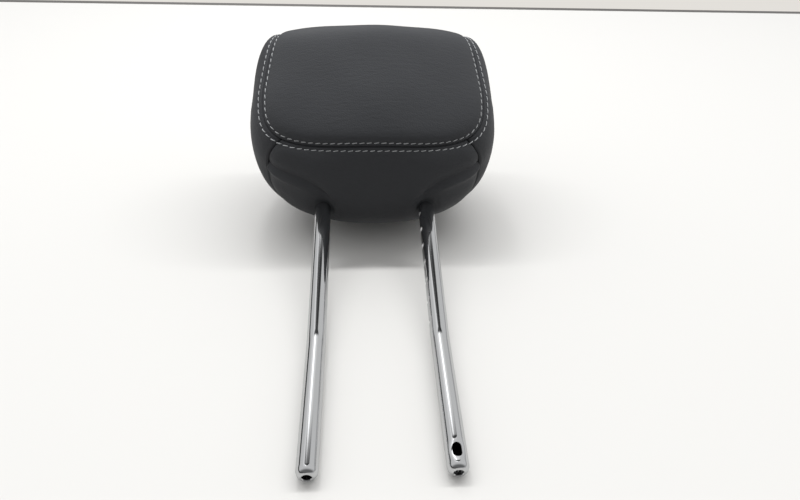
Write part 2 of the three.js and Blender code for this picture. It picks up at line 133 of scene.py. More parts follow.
class Bench:
    """The node tree of one material or of the world, with short ways to add nodes."""

    def __init__(self, tree: bpy.types.NodeTree) -> None:
        """Empties a node tree and keeps it."""
        self.tree = tree
        tree.nodes.clear()

    def node(
        self,
        kind: str,
        settings: dict | None = None,
        inputs: dict | None = None,
        output: int | str = 0,
    ) -> Socket:
        """Adds one node.

        Args:
            kind: The node's type.
            settings: Properties, set first.
            inputs: Values or sockets by input name or number.
            output: The output to hand back.

        Returns:
            The chosen output as a socket.
        """
        made = self.tree.nodes.new(kind)
        for name, value in (settings or {}).items():
            setattr(made, name, value)
        for name, value in (inputs or {}).items():
            if isinstance(value, Socket):
                self.tree.links.new(value.output, made.inputs[name])
            else:
                made.inputs[name].default_value = value
        if not made.outputs:
            return Socket(self, None)
        return Socket(self, made.outputs[output])

    def place(self) -> Socket:
        """The object coordinate, in metres."""
        return self.node("ShaderNodeTexCoord", output="Object")

    def stretched(self, scale: tuple[float, float, float]) -> Socket:
        """The object coordinate, scaled on each axis."""
        return self.node("ShaderNodeMapping", {}, {"Vector": self.place(), "Scale": scale})

    def noise(self, scale: float, detail: float = 2.0, vector: Socket | None = None) -> Socket:
        """Smooth noise between 0 and 1."""
        inputs = {"Vector": vector or self.place(), "Scale": scale, "Detail": detail}
        return self.node("ShaderNodeTexNoise", {}, inputs)

    def shade(self, value: Value, dark: Colour, light: Colour) -> Socket:
        """Mixes two colours by a value."""
        inputs = {0: value, 6: (*dark, 1.0), 7: (*light, 1.0)}
        return self.node("ShaderNodeMix", {"data_type": "RGBA"}, inputs, 2)

    def bump(self, height: Socket, distance: float, over: Socket | None = None) -> Socket:
        """A normal from a height, laid over another normal where one is given.

        Args:
            height: The height, between 0 and 1.
            distance: The height's full depth in metres.
            over: The normal that lies under it.

        Returns:
            The normal.
        """
        inputs = {"Height": height, "Distance": distance, "Strength": 1.0}
        if over:
            inputs["Normal"] = over
        return self.node("ShaderNodeBump", {}, inputs)

    def along(self, way: Socket, direction: tuple[float, float, float]) -> Socket:
        """How far a direction lies along a fixed one, as a cosine."""
        return self.node("ShaderNodeVectorMath", {"operation": "DOT_PRODUCT"}, {0: way, 1: direction}, 1)

    def fade(self, value: Socket, low: float, high: float, start: float, end: float) -> Socket:
        """A soft step from a start to an end as the value goes from low to high."""
        inputs = {"Value": value, "From Min": low, "From Max": high, "To Min": start, "To Max": end}
        return self.node("ShaderNodeMapRange", {"interpolation_type": "SMOOTHSTEP"}, inputs)

    def finish(self, shader: Socket) -> None:
        """Links a shader to the surface."""
        self.node("ShaderNodeOutputMaterial", {}, {"Surface": shader})


@dataclass(frozen=True)
class Finish:
    """One finish: a colour with its roughness and metalness, and a builder for what varies."""

    name: str
    colour: Colour
    roughness: float
    metallic: float = 0.0
    specular: float = 0.5

    def build(self, vary: Callable[[Bench], dict] | None = None) -> bpy.types.Material:
        """Makes the material.

        Args:
            vary: Gives the shader inputs that change over the surface.

        Returns:
            The new material.
        """
        made = bpy.data.materials.new(self.name)
        made.use_nodes = True
        made.diffuse_color = (*self.colour, 1.0)
        bench = Bench(made.node_tree)
        inputs = {
            "Base Color": (*self.colour, 1.0),
            "Roughness": self.roughness,
            "Metallic": self.metallic,
            "Specular IOR Level": self.specular,
        }
        if vary:
            inputs.update(vary(bench))
        bench.finish(bench.node("ShaderNodeBsdfPrincipled", {}, inputs))
        return made


LEATHER = Finish("leather", (0.046, 0.048, 0.052), 0.58, specular=0.4)
THREAD = Finish("thread", (0.36, 0.36, 0.35), 0.6, specular=0.3)
CHROME = Finish("chrome", (0.86, 0.87, 0.88), 0.06, metallic=1.0)
FOAM = Finish("foam", (0.09, 0.087, 0.078), 0.95)
PLASTIC = Finish("plastic", (0.015, 0.015, 0.015), 0.6)
STEEL = Finish("steel", (0.33, 0.33, 0.33), 0.35, metallic=1.0)

GRAIN_SCALE = 1050.0
GRAIN_SOFTNESS = 0.6
GRAIN_HEIGHT = 0.00013
WRINKLE_STRETCH = (125.0, 240.0, 430.0)
WRINKLE_HEIGHT = 0.00027
WRINKLE_REACH = (0.19, 0.275)
WRINKLE_LEAST = 0.3
PATCH_SCALE = 14.0
LEATHER_DARK = (0.041, 0.043, 0.047)
LEATHER_LIGHT = (0.051, 0.053, 0.058)
LEATHER_GLOSS = (0.52, 0.1)
TWIST_SCALE = 2200.0
THREAD_DARK = (0.34, 0.35, 0.36)
THREAD_LIGHT = (0.6, 0.61, 0.62)
WEAR_SCALE = 260.0
WEAR_GLOSS = (0.045, 0.05)
# Bare steel inside the bores, darkened near-black as painted shade in the holes.
BARE_STEEL_AND_SHADE = (0.035, 0.033, 0.03)
BARE_ROUGHNESS = 0.5


def leather_variation(bench: Bench) -> dict:
    """Pebbled grain, fine wrinkles that lie across and fade upwards, a slight change of colour and gloss.

    Args:
        bench: The leather's nodes.

    Returns:
        The shader inputs that vary: colour, gloss and the normal.
    """
    settings = {"feature": "SMOOTH_F1"}
    inputs = {"Vector": bench.place(), "Scale": GRAIN_SCALE, "Smoothness": GRAIN_SOFTNESS}
    cells = bench.node("ShaderNodeTexVoronoi", settings, inputs)
    wrinkles = bench.noise(1.0, 3.0, bench.stretched(WRINKLE_STRETCH))
    patch = bench.noise(PATCH_SCALE, 3.0)
    height = bench.along(bench.place(), (0.0, 0.0, 1.0))
    wrinkles = wrinkles * bench.fade(height, *WRINKLE_REACH, 1.0, WRINKLE_LEAST)
    grain = bench.bump(1.0 - cells, GRAIN_HEIGHT)
    least, spread = LEATHER_GLOSS
    return {
        "Base Color": bench.shade(patch, LEATHER_DARK, LEATHER_LIGHT),
        "Roughness": least + patch * spread,
        "Normal": bench.bump(wrinkles, WRINKLE_HEIGHT, grain),
    }


def thread_variation(bench: Bench) -> dict:
    """Twisted thread: a fine change of colour along each stitch."""
    twist = bench.noise(TWIST_SCALE, 1.0)
    return {"Base Color": bench.shade(twist, THREAD_DARK, THREAD_LIGHT)}


def chrome_variation(bench: Bench) -> dict:
    """Polished plate with faint wear in its gloss, and inside the bores bare steel with painted shade,
    near-black.

    Args:
        bench: The chrome's nodes.

    Returns:
        The shader inputs that vary: colour and gloss.
    """
    wear = bench.noise(WEAR_SCALE, 4.0, bench.stretched((1.0, 1.0, 0.25)))
    bore = bench.node("ShaderNodeAttribute", {"attribute_name": "bore"}, output="Fac")
    least, spread = WEAR_GLOSS
    return {
        # Inside the bores the colour is near-black: painted shade over bare steel.
        "Base Color": bench.shade(bore, CHROME.colour, BARE_STEEL_AND_SHADE),
        "Roughness": least + wear * spread + bore * BARE_ROUGHNESS,
    }


# Meshes


def weave(rows: int, columns: int) -> Array:
    """Quads between neighbouring points of a grid whose columns go all the way round.

    Args:
        rows: How many rows of points the grid has.
        columns: How many points a row has.

    Returns:
        Four point numbers for each quad.
    """
    row, column = np.meshgrid(np.arange(rows - 1), np.arange(columns), indexing="ij")
    here = row * columns
    ahead = (column + 1) % columns
    corners = [here + column, here + ahead, here + columns + ahead, here + columns + column]
    return np.stack(corners, axis=-1).reshape(-1, 4)


def make_mesh(
    name: str,
    points: Array,
    quads: Array,
    material: bpy.types.Material,
) -> bpy.types.Object:
    """Makes a smooth object that rides on the one body.

    Args:
        name: The piece's name.
        points: Vertices in millimetres.
        quads: Faces, four indices each.
        material: Its finish.

    Returns:
        The new object.
    """
    mesh = bpy.data.meshes.new(name)
    mesh.vertices.add(len(points))
    mesh.vertices.foreach_set("co", (points * MM).astype(np.float32).ravel())
    mesh.loops.add(quads.size)
    mesh.loops.foreach_set("vertex_index", quads.astype(np.int32).ravel())
    mesh.polygons.add(len(quads))
    mesh.polygons.foreach_set("loop_start", np.arange(0, quads.size, 4, dtype=np.int32))
    mesh.polygons.foreach_set("use_smooth", np.ones(len(quads), dtype=bool))
    mesh.update(calc_edges=True)
    mesh.validate()
    tidy_mesh(mesh)
    mesh.materials.append(material)
    made = bpy.data.objects.new(name, mesh)
    bpy.context.scene.collection.objects.link(made)
    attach(made, "root")
    log.info("%s: %d vertices", name, len(mesh.vertices))
    return made


def tidy_mesh(mesh: bpy.types.Mesh) -> None:
    """Merges doubled vertices and turns the faces outwards.

    Args:
        mesh: The mesh, changed in place.
    """
    work = bmesh.new()
    work.from_mesh(mesh)
    bmesh.ops.remove_doubles(work, verts=work.verts, dist=1e-6)
    bmesh.ops.dissolve_degenerate(work, edges=work.edges, dist=1e-7)
    bmesh.ops.recalc_face_normals(work, faces=work.faces)
    work.to_mesh(mesh)
    work.free()
    mesh.update()


def smooth(value: Array, low: float, high: float) -> Array:
    """A soft step from 0 at low to 1 at high."""
    t = np.clip((value - low) / (high - low), 0.0, 1.0)
    return t * t * (3.0 - 2.0 * t)


def bell(distance: Array, width: float) -> Array:
    """A bell that is 1 at no distance and falls away over a width."""
    return np.exp(-((distance / width) ** 2))


def mix(low: Array, high: Array, t: Array) -> Array:
    """A straight blend of two values."""
    return low + (high - low) * t


# Cushion


@dataclass
class CushionForm:
    """The cushion's surface. A place on it is a turn about the face's centre and a ring.

    Ring 0 is the middle of the face, 1 the front seam, 2 the back seam and 3 the middle of the back.
    """

    lean: float = 22.0
    post_run: float = 139.5
    face_half: float = 96.0
    face_foot: float = 25.5
    face_top: float = 172.4
    face_bulge: float = 69.5
    body_half: float = 112.5
    body_top: float = 178.8
    back_half: float = 103.6
    back_foot: float = 3.0
    back_top: float = 158.0
    back_bulge: float = 64.5
    belt: float = 80.0
    leather: float = 2.0
    underside_drop: float = 29.4
    low_power: tuple[float, float] = (3.5, 2.52)
    low_reach: float = 0.37
    high_power: tuple[float, float] = (5.5, 3.4)
    swell_end: float = 0.94
    swell_power: float = 0.8
    drop_power: float = 0.9
    rise_power: float = 0.85
    taper_rate: float = 3.0
    face_edge_power: int = 12
    back_edge_power: int = 8
    corner: tuple[float, float, float] = (-29.5, 22.0, 1.9)
    face_taper: float = 820.0
    side_taper: float = 1380.0
    face_side_radius: float = 417.0
    face_foot_radius: float = 167.0
    face_rise_radius: float = 625.0
    face_roll_height: float = 105.0
    face_roll_length: float = 70.0
    face_edge_drop: float = 5.0
    back_crest: float = 62.0
    back_side_radius: float = 385.0
    back_foot_radius: float = 160.0
    back_rise_radius: float = 179.0
    back_edge_drop: float = 4.0

    def face_depth(self, x: Array, w: Array) -> Array:
        """Depth of the face: a shallow dish turned outwards that rolls back at its top.

        Its depth grows with the square of the distance from the belt, sideways, up and down, and with the
        fourth power over the roll at the top.

        Args:
            x: Distance to the side.
            w: Height in the cushion's frame.

        Returns:
            Depth, towards the back where positive.
        """
        above = np.maximum(w - self.face_roll_height, 0.0)
        low = np.minimum(w - self.belt, 0.0)
        high = np.maximum(w - self.belt, 0.0)
        dish = x**2 / self.face_side_radius + low**2 / self.face_foot_radius
        dish = dish + high**2 / self.face_rise_radius
        return -self.face_bulge + dish / 2 + above**4 / self.face_roll_length**3

    def back_depth(self, x: Array, w: Array) -> Array:
        """Depth of the back: a wider dish that falls away towards the top.

        Its depth falls with the square of the distance from the crest, sideways, up and down.

        Args:
            x: Distance to the side.
            w: Height in the cushion's frame.

        Returns:
            Depth, towards the back where positive.
        """
        low = np.minimum(w - self.back_crest, 0.0)
        high = np.maximum(w - self.back_crest, 0.0)
        dish = x**2 / self.back_side_radius + low**2 / self.back_foot_radius
        dish = dish + high**2 / self.back_rise_radius
        return self.back_bulge - dish / 2

    def outline(self, turn: Array, g: Array, scale: Array) -> tuple[Array, Array]:
        """Section outline at a share g of the way from the front seam to the back seam.

        Each half is a superellipse: the powers of its two reaches add up to one. The half width, the foot
        and the top go from the front's to the back's, and swell or drop by a sine in between. The width
        narrows towards the top.

        Args:
            turn: Angle round the section, from the right-hand side upwards.
            g: The share, from 0 to 1.
            scale: The section's size against its full size.

        Returns:
            Distance to the side, and height.
        """
        swell = np.sin(np.pi * np.minimum(g / self.swell_end, 1.0) ** self.swell_power)
        half = mix(self.face_half, self.back_half, g)
        half = half + (self.body_half - (self.face_half + self.back_half) / 2) * swell
        drop = self.underside_drop * np.sin(np.pi * g**self.drop_power)
        foot = mix(self.face_foot, self.back_foot, g) - drop
        rise = self.body_top - (self.face_top + self.back_top) / 2
        top = mix(self.face_top, self.back_top, g) + rise * np.sin(np.pi * g**self.rise_power)
        low = mix(*self.low_power, smooth(g, 0.0, self.low_reach))
        high = mix(*self.high_power, g)
        c, s = np.cos(turn), np.sin(turn)
        height = np.where(s < 0, self.belt - foot, top - self.belt)
        power = np.where(s < 0, low, high)
        reach = (np.abs(c / half) ** power + np.abs(s / height) ** power) ** (-1.0 / power)
        run = mix(self.face_taper, self.side_taper, np.minimum(g * self.taper_rate, 1.0))
        taper = 1.0 - np.maximum(reach * s, 0.0) / run
        return scale * reach * c * taper, self.belt + scale * reach * s

    def smooth_point(self, turn: Array, ring: Array) -> Array:
        """The surface before seams and tucks, in the cushion's own frame.

        Rings 0 to 1 are the face, 1 to 2 the border and 2 to 3 the back. The border's depth is a straight
        blend of the two seams' depths, and the face and the back roll over at their edges by a high power.

        Args:
            turn: Angle round the section.
            ring: Place from the middle of the face to the middle of the back.

        Returns:
            Points.
        """
        g = np.clip(ring - 1.0, 0.0, 1.0)
        scale = np.clip(np.minimum(ring, 3.0 - ring), 0.0, 1.0)
        x, w = self.outline(turn, g, scale)
        front_x, front_w = self.outline(turn, np.zeros_like(g), np.ones_like(g))
        rear_x, rear_w = self.outline(turn, np.ones_like(g), np.ones_like(g))
        front = self.face_depth(front_x, front_w) + self.face_edge_drop
        band = mix(front, self.back_depth(rear_x, rear_w) - self.back_edge_drop, g)
        face = self.face_depth(x, w) + self.face_edge_drop * np.clip(ring, 0.0, 1.0) ** self.face_edge_power
        edge = np.clip(3.0 - ring, 0.0, 1.0) ** self.back_edge_power
        back = self.back_depth(x, w) - self.back_edge_drop * edge
        depth = np.where(ring < 1.0, face, np.where(ring > 2.0, back, band))
        return np.stack([x, depth, w], axis=-1)

    def normal(self, turn: Array, ring: Array, across: float = 0.06) -> Array:
        """Outward direction, taken across a seam's width so that panels meet at a mitre.

        It is the cross product of the surface's steps along the rings and round them.

        Args:
            turn: Angle round the section.
            ring: Place from the middle of the face to the middle of the back.
            across: How far to either side the steps go, in rings.

        Returns:
            Directions of length 1.
        """
        middle = np.clip(ring, across, 3.0 - across)
        step = 1e-3
        around = self.smooth_point(turn + step, middle) - self.smooth_point(turn - step, middle)
        along = self.smooth_point(turn, middle + across) - self.smooth_point(turn, middle - across)
        normal = np.cross(along, around)
        return normal / np.linalg.norm(normal, axis=-1, keepdims=True)

    def corner_turn(self, ring: Array) -> Array:
        """Turn of the seam between the border band and the underside, right-hand side."""
        start, sweep, power = self.corner
        return np.radians(start - sweep * np.clip(ring - 1.0, 0.0, 1.0) ** power)

    def to_headrest(self, points: Array) -> Array:
        """From the cushion's leaning frame to the headrest's.

        Args:
            points: Points in the cushion's frame.

        Returns:
            The points, turned about X and raised to the top of the upper runs.
        """
        c, s = math.cos(math.radians(self.lean)), math.sin(math.radians(self.lean))
        x, y, z = points[..., 0], points[..., 1], points[..., 2]
        return np.stack([x, y * c - z * s, y * s + z * c + self.post_run], axis=-1)


@dataclass
class SeamCraft:
    """How the cover is drawn in along its seams, tucks and post pockets."""

    crease_depth: float = 1.4
    crease_width: float = 1.0
    draw_depth: float = 1.1
    draw_width: float = 6.5
    row_offset: float = 3.4
    row_dip: float = 0.55
    row_width: float = 1.1
    pocket_x: float = 45.0
    pocket_y: float = -6.0
    pocket_depth: float = 8.0
    pocket_reach: tuple[float, float] = (9.0, 15.0)
    tuck_depth: float = 0.9
    tuck_width: float = 1.3
    valley_depth: float = 1.5
    valley_width: float = 5.0
    ridge_height: float = 1.7
    ridge_offset: float = 5.5
    ridge_width: float = 3.2
    ridge_fade: tuple[float, float] = (50.0, 66.0)
    tuck_fade: tuple[float, float, float, float] = (30.0, 46.0, 96.0, 108.0)
    tuck_span: tuple[float, float] = (30.0, 100.0)
    tuck_route: tuple[tuple[float, float], ...] = (
        (39, -21), (48, -27), (62.5, -34), (77.5, -32), (92.5, -31),
    )

    def seam(self, distance: Array, stitched: bool) -> Array:
        """Depth at a distance from a seam: a crease in a wide hollow, with a dip under each stitch row.

        Args:
            distance: Distance from the seam.
            stitched: Whether it has topstitching.

        Returns:
            Depth, as a sum of bell curves.
        """
        depth = self.crease_depth * bell(distance, self.crease_width)
        depth = depth + self.draw_depth * bell(distance, self.draw_width)
        if stitched:
            depth = depth + self.row_dip * bell(distance - self.row_offset, self.row_width)
        return depth

    def underside(self, points: Array) -> Array:
        """Depth of the pockets and tucks on the underside, from places in the cushion's frame.

        A pocket is a bell round each post. A tuck is a narrow and a wide bell along a cubic fitted to the
        route's points, with a raised bell beside it.

        Args:
            points: Places on the smooth surface.

        Returns:
            Depth.
        """
        x, y = np.abs(points[..., 0]), points[..., 1]
        reach_x, reach_y = self.pocket_reach
        reach = np.hypot((x - self.pocket_x) / reach_x, (y - self.pocket_y) / reach_y)
        depth = self.pocket_depth * np.exp(-(reach**2))
        stations = np.array(self.tuck_route, dtype=float)
        route = np.polynomial.Polynomial.fit(stations[:, 0], stations[:, 1], 3)
        off = y - route(np.clip(x, *self.tuck_span))
        start, full, waning, end = self.tuck_fade
        fade = smooth(x, start, full) * (1.0 - smooth(x, waning, end))
        crease = self.tuck_depth * bell(off, self.tuck_width)
        valley = self.valley_depth * bell(off, self.valley_width)
        ridge = self.ridge_height * bell(off - self.ridge_offset, self.ridge_width)
        ridge = ridge * smooth(x, *self.ridge_fade)
        return depth + fade * (crease + valley - ridge)


@dataclass
class Cover:
    """The four leather panels and the thread that joins them."""

    form: CushionForm
    craft: SeamCraft
    around: int = 360
    round_rows: int = 110
    inner_rows: int = 12
    strip_rows: int = 130
    underside_columns: int = 300
    band_columns: int = 380
    swell_fade: tuple[float, float] = (2.0, 20.0)
    stitch_pitch: float = 6.1
    stitch_length: float = 5.3
    stitch_radius: float = 0.41
    stitch_slant: float = 0.8
    stitch_sink: float = 0.6
    stitch_dip: float = 0.9
    stitch_flatness: float = 0.85
    stitch_rings: int = 9
    stitch_sides: int = 8
    side_spread: float = 0.5
    line_turns: int = 1440
    line_steps: int = 81
    line_reach: float = 0.2
    swell_height: float = 0.35

    def _run(self, points: Array, axis: int) -> Array:
        """Length along a grid from its first line, in millimetres.

        Args:
            points: The grid.
            axis: The axis to go along.

        Returns:
            The length at each point.
        """
        steps = np.linalg.norm(np.diff(points, axis=axis), axis=-1)
        start = np.zeros_like(np.take(steps, [0], axis=axis))
        return np.concatenate([start, np.cumsum(steps, axis=axis)], axis=axis)

    def _swell(self, points: Array) -> Array:
        """A slow unevenness that hand-filled leather has, as a sum of sines with lengths in millimetres.

        Args:
            points: Places on the smooth surface.

        Returns:
            Height over the smooth surface.
        """
        x, y, z = points[..., 0], points[..., 1], points[..., 2]
        first = np.sin(x / 17.0 + 1.3) * np.sin(z / 13.0 + y / 19.0)
        second = np.sin(x / 8.3 + z / 11.0) * np.sin(y / 9.0 + 0.7)
        return self.swell_height * (first + 0.5 * second)

    def _panel(self, name: Node, closed: Array, quads: Array, material: bpy.types.Material) -> None:
        """Makes one panel from a closed skin in the cushion's frame.

        Args:
            name: The node that it stands for.
            closed: The skin's grid of points.
            quads: Its faces.
            material: The leather.
        """
        points = self.form.to_headrest(closed.reshape(-1, 3))
        made = make_mesh(name.value + "_cover", points, quads, material)
        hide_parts(name.value)

    def _end_walls(self, rows: int, columns: int) -> list[Array]:
        """Quads that shut the first and the last row of a loop whose second half runs back.

        Args:
            rows: How many rows the loop has.
            columns: How many points half a row has.

        Returns:
            The quads of both ends.
        """
        loop = 2 * columns
        across = np.arange(columns - 1)
        walls = []
        for line in (0, (rows - 1) * loop):
            out = line + across
            back = line + loop - 1 - across
            walls.append(np.stack([out, out + 1, back - 1, back], axis=-1))
        return walls

    def _laid(self, turn: Array, ring: Array, depth: Array) -> Array:
        """Points at a depth under the smooth surface."""
        return self.form.smooth_point(turn, ring) - self.form.normal(turn, ring) * depth[..., None]

    def round_panel(
        self,
        name: Node,
        centre: float,
        edge: float,
        stitched: bool,
        material: bpy.types.Material,
    ) -> None:
        """The face or the back, as rings round its middle that lie closer together towards the seam.

        Each point goes inwards along the surface's normal by the seam's depth, less the slow unevenness.

        Args:
            name: The node that it stands for.
            centre: The ring of its middle.
            edge: The ring of its seam.
            stitched: Whether its seam has topstitching.
            material: The leather.
        """
        rows = 1.0 - (1.0 - np.linspace(0.0, 1.0, self.round_rows)) ** 1.5
        turns = np.linspace(0.0, 2 * np.pi, self.around, endpoint=False)
        t, turn = np.meshgrid(rows, turns, indexing="ij")
        ring = mix(centre, edge, t)
        base = self.form.smooth_point(turn, ring)
        run = self._run(base, 0)
        gap = run[-1:] - run
        depth = self.craft.seam(gap, stitched) - self._swell(base) * smooth(gap, *self.swell_fade)
        outer = self._laid(turn, ring, depth)
        few = np.linspace(0.0, 1.0, self.inner_rows)
        t_in, turn_in = np.meshgrid(few, turns, indexing="ij")
        ring_in = mix(centre, edge, t_in)
        flat = self.form.leather + self.craft.crease_depth + self.craft.draw_depth
        inner = self._laid(turn_in, ring_in, np.full_like(t_in, flat + self.form.leather))
        closed = np.concatenate([outer, inner[::-1]], axis=0)
        self._panel(name, closed, weave(len(closed), self.around), material)

    def strip(
        self,
        name: Node,
        low: Callable[[Array], Array],
        high: Callable[[Array], Array],
        columns: int,
        material: bpy.types.Material,
    ) -> None:
        """A strip between the two seams, drawn in at all four edges.

        Each point goes inwards along the surface's normal by the depths of the seams round it.

        Args:
            name: The node that it stands for.
            low: Gives the turn at which it starts, by ring.
            high: Gives the turn at which it ends, by ring.
            columns: How many points it has along the seams.
            material: The leather.
        """
        rows = (1.0 - np.cos(np.pi * np.linspace(0.0, 1.0, self.strip_rows))) / 2.0
        across = (1.0 - np.cos(np.pi * np.linspace(0.0, 1.0, columns))) / 2.0
        across = 0.5 * across + 0.5 * np.linspace(0.0, 1.0, columns)
        r, c = np.meshgrid(rows, across, indexing="ij")
        ring = 1.0 + r
        turn = mix(low(ring), high(ring), c)
        base = self.form.smooth_point(turn, ring)
        front = self._run(base, 0)
        back = front[-1:] - front
        left = self._run(base, 1)
        right = left[:, -1:] - left
        side = np.minimum(left, right)
        edge = np.minimum(np.minimum(front, back), side)
        depth = self.craft.seam(front, True) + self.craft.seam(back, False) + self.craft.seam(side, False)
        depth = depth - self._swell(base) * smooth(edge, *self.swell_fade)
        if name is Node.UNDERSIDE:
            depth = depth + self.craft.underside(base)
        outer = self._laid(turn, ring, depth)
        inner = self._laid(turn, ring, depth + self.form.leather)
        closed = np.concatenate([outer, inner[:, ::-1]], axis=1)
        quads = np.concatenate([weave(len(closed), 2 * columns), *self._end_walls(len(closed), columns)])
        self._panel(name, closed, quads, material)

    def row_line(self, offset: float) -> Array:
        """A closed line at an offset from the front seam, on the face where negative.

        The row on the border lies further from the seam along the sides.

        Args:
            offset: Distance from the seam along the bottom.

        Returns:
            Points and the outward directions at them.
        """
        turns = np.linspace(0.0, 2 * np.pi, self.line_turns, endpoint=False)
        steps = np.linspace(0.0, self.line_reach, self.line_steps)
        s, turn = np.meshgrid(steps, turns, indexing="ij")
        ring = 1.0 + math.copysign(1.0, offset) * s
        run = self._run(self.form.smooth_point(turn, ring), 0)
        spread = 1.0 + max(math.copysign(self.side_spread, offset), 0.0) * np.cos(turns) ** 4
        away = abs(offset) * spread
        share = np.array([np.interp(away[i], run[:, i], steps) for i in range(len(turns))])
        ring = 1.0 + math.copysign(1.0, offset) * share
        depth = self.craft.seam(away, True)
        lift = self._laid(turns, ring, depth - self.stitch_sink * self.stitch_radius)
        return np.concatenate([lift, self.form.normal(turns, ring)], axis=-1)

    def stitches(self, name: str, offset: float, material: bpy.types.Material) -> None:
        """One row of long thin stitches along the front seam, each dipping into the leather at its ends.

        Each is a flattened tube along the row's line, tapered by a sixth power and dipped by a fourth.

        Args:
            name: The name of the row.
            offset: Distance from the seam, on the face where negative.
            material: The thread.
        """
        line = self.row_line(offset)
        points, normals = line[:, :3], line[:, 3:]
        closed = np.concatenate([points, points[:1]])
        run = np.concatenate([[0.0], np.cumsum(np.linalg.norm(np.diff(closed, axis=0), axis=1))])
        count = int(round(run[-1] / self.stitch_pitch))
        pitch = run[-1] / count
        stations = np.linspace(-0.5, 0.5, self.stitch_rings)
        spots = (np.arange(count)[:, None] + 0.5) * pitch + stations[None, :] * self.stitch_length
        spots = np.mod(spots, run[-1])
        looped = np.concatenate([normals, normals[:1]])
        at = np.stack([np.interp(spots, run, closed[:, i]) for i in range(3)], axis=-1)
        up = np.stack([np.interp(spots, run, looped[:, i]) for i in range(3)], axis=-1)
        up /= np.linalg.norm(up, axis=-1, keepdims=True)
        along = np.gradient(at, axis=1)
        along /= np.linalg.norm(along, axis=-1, keepdims=True)
        side = np.cross(up, along)
        taper = np.sqrt(np.clip(1.0 - (2.0 * stations) ** 6, 0.0, 1.0)) * self.stitch_radius
        dip = self.stitch_dip * np.abs(2.0 * stations) ** 4
        at = at - up * dip[None, :, None] + side * (stations * self.stitch_slant)[None, :, None]
        turns = np.linspace(0.0, 2 * np.pi, self.stitch_sides, endpoint=False)
        ring = (
            np.cos(turns)[None, None, :, None] * side[:, :, None, :]
            + self.stitch_flatness * np.sin(turns)[None, None, :, None] * up[:, :, None, :]
        )
        shell = at[:, :, None, :] + ring * taper[None, :, None, None]
        per = len(stations) * len(turns)
        one = weave(len(stations), len(turns))
        quads = (np.arange(count)[:, None, None] * per + one[None]).reshape(-1, 4)
        make_mesh(name, self.form.to_headrest(shell.reshape(-1, 3)), quads, material)

    def build(self) -> None:
        """Makes the panels and both rows of topstitching."""
        leather = LEATHER.build(leather_variation)
        thread = THREAD.build(thread_variation)
        self.round_panel(Node.FACE, 0.0, 1.0, True, leather)
        self.round_panel(Node.BACK, 3.0, 2.0, False, leather)
        right = self.form.corner_turn
        under = self.underside_columns
        self.strip(Node.UNDERSIDE, lambda ring: -np.pi - right(ring), right, under, leather)
        self.strip(Node.BAND, right, lambda ring: np.pi - right(ring), self.band_columns, leather)
        self.stitches("face_stitches", -self.craft.row_offset, thread)
        self.stitches("border_stitches", self.craft.row_offset, thread)


# Posts


